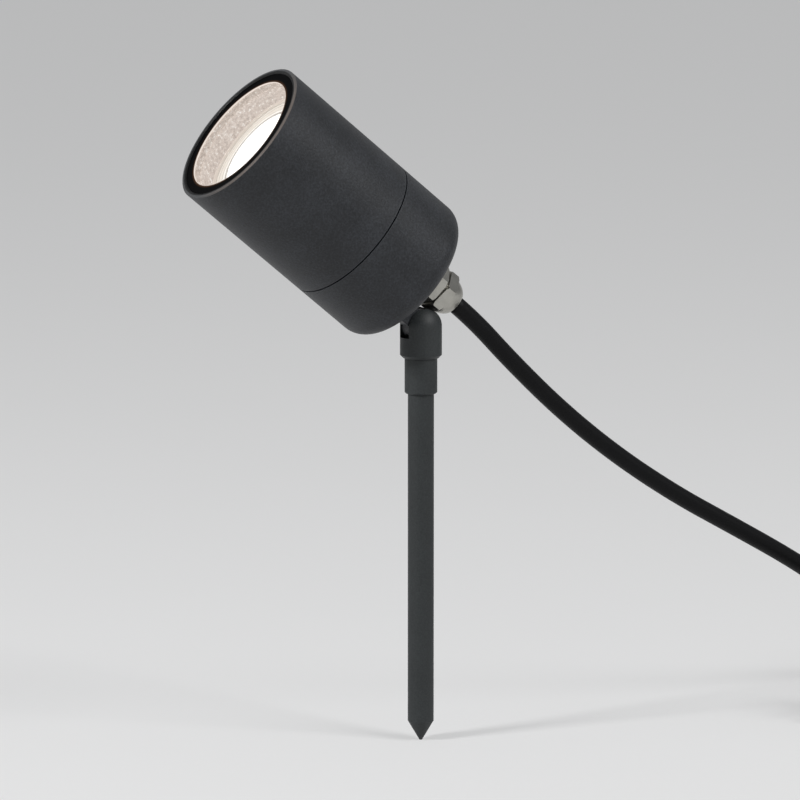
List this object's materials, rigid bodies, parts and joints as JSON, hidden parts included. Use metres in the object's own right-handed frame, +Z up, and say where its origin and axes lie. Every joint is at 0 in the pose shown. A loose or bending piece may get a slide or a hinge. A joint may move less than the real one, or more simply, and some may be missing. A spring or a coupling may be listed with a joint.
{
  "type": "garden spike spotlight",
  "caption": "Garden spotlight on a pointed ground spike: a round head with a lit twist-lock lamp tilts and swivels on a knuckle, and a mains lead runs from its gland to a plug.",
  "frame": {"origin": "on the spike's axis where the rod leaves its collar, which is the ground line in use", "axes": "+Z up along the spike, -Y the way the head faces, +Y the way the cable leaves, +X to the head's left as it faces away from the viewer"},
  "size_m": [0.093, 0.4026, 0.2607],
  "materials": {
    "shell": "fine textured graphite powder coat",
    "fork": "graphite powder coat, satin",
    "rod": "graphite powder coat, satin",
    "stainless": "turned stainless steel",
    "gland_metal": "nickel plated brass",
    "contact_metal": "bare brass",
    "zinc": "bright zinc plate",
    "clear_glass": "clear toughened glass",
    "lamp_glass": "pressed lamp glass, lit warm white",
    "ring_black": "black",
    "seal_rubber": "black silicone rubber",
    "washer_nylon": "dark nylon",
    "ceramic": "glazed white ceramic",
    "block_plastic": "white nylon",
    "source": "yellow phosphor, lit",
    "cable_rubber": "black rubber sheath",
    "plug_rubber": "black moulded rubber",
    "tie_plastic": "black nylon",
    "wire_brown": "brown insulation",
    "wire_blue": "blue insulation",
    "wire_earth": "green and yellow insulation"
  },
  "bodies": {
    "spike": {"spike_rod": "rod", "spike_collar": "rod"},
    "knuckle": {"knuckle": "fork", "swivel_grub_screw": "stainless", "pivot_screw": "stainless", "friction_washers": "washer_nylon", "cable_run": "cable_rubber", "cable_coil": "cable_rubber", "cable_tail": "cable_rubber", "cable_tie": "tie_plastic", "plug_body": "plug_rubber", "plug_pins": "zinc", "plug_contacts": "contact_metal"},
    "head": {"rear_cap": "shell", "housing_o_ring": "seal_rubber", "lamp_holder": "ceramic", "holder_contacts": "contact_metal", "holder_bracket": "zinc", "bracket_screws": "zinc", "holder_screws": "zinc", "earth_screw": "zinc", "earth_lug": "zinc", "terminal_block": "block_plastic", "terminal_screws": "contact_metal", "live_core": "wire_brown", "neutral_core": "wire_blue", "earth_core": "wire_earth", "live_lead": "wire_brown", "neutral_lead": "wire_blue", "gland_body": "gland_metal", "gland_washer": "seal_rubber", "gland_locknut": "gland_metal", "gland_seal": "seal_rubber", "gland_nut": "gland_metal", "cable_entry": "cable_rubber"},
    "front": {"front_housing": "shell", "retaining_ring": "ring_black", "front_glass": "clear_glass", "glass_gasket": "seal_rubber"},
    "lamp": {"lamp_reflector": "lamp_glass", "lamp_lens": "lamp_glass", "lamp_source": "source", "lamp_base": "ceramic", "lamp_pins": "zinc"}
  },
  "joints": [
    {"name": "swivel", "type": "hinge", "parent": "spike", "child": "knuckle", "pos_m": [0, 0, 0.0135], "axis": [0, 0, 1], "range_deg": [-170, 170]},
    {"name": "tilt", "type": "hinge", "parent": "knuckle", "child": "head", "pos_m": [0, 0, 0.0258], "axis": [-1, 0, 0], "range_deg": [-39.5, 50.5], "deforming": ["cable_run"]},
    {"name": "front_slide", "type": "slide", "parent": "head", "child": "front", "axis": [0, -0.7716, 0.6361], "range_m": [0, 0.06]},
    {"name": "lamp_twist", "type": "hinge", "parent": "head", "child": "lamp", "pos_m": [0, -0.02721, 0.06275], "axis": [0, -0.7716, 0.6361], "range_deg": [0, 20]}
  ]
}
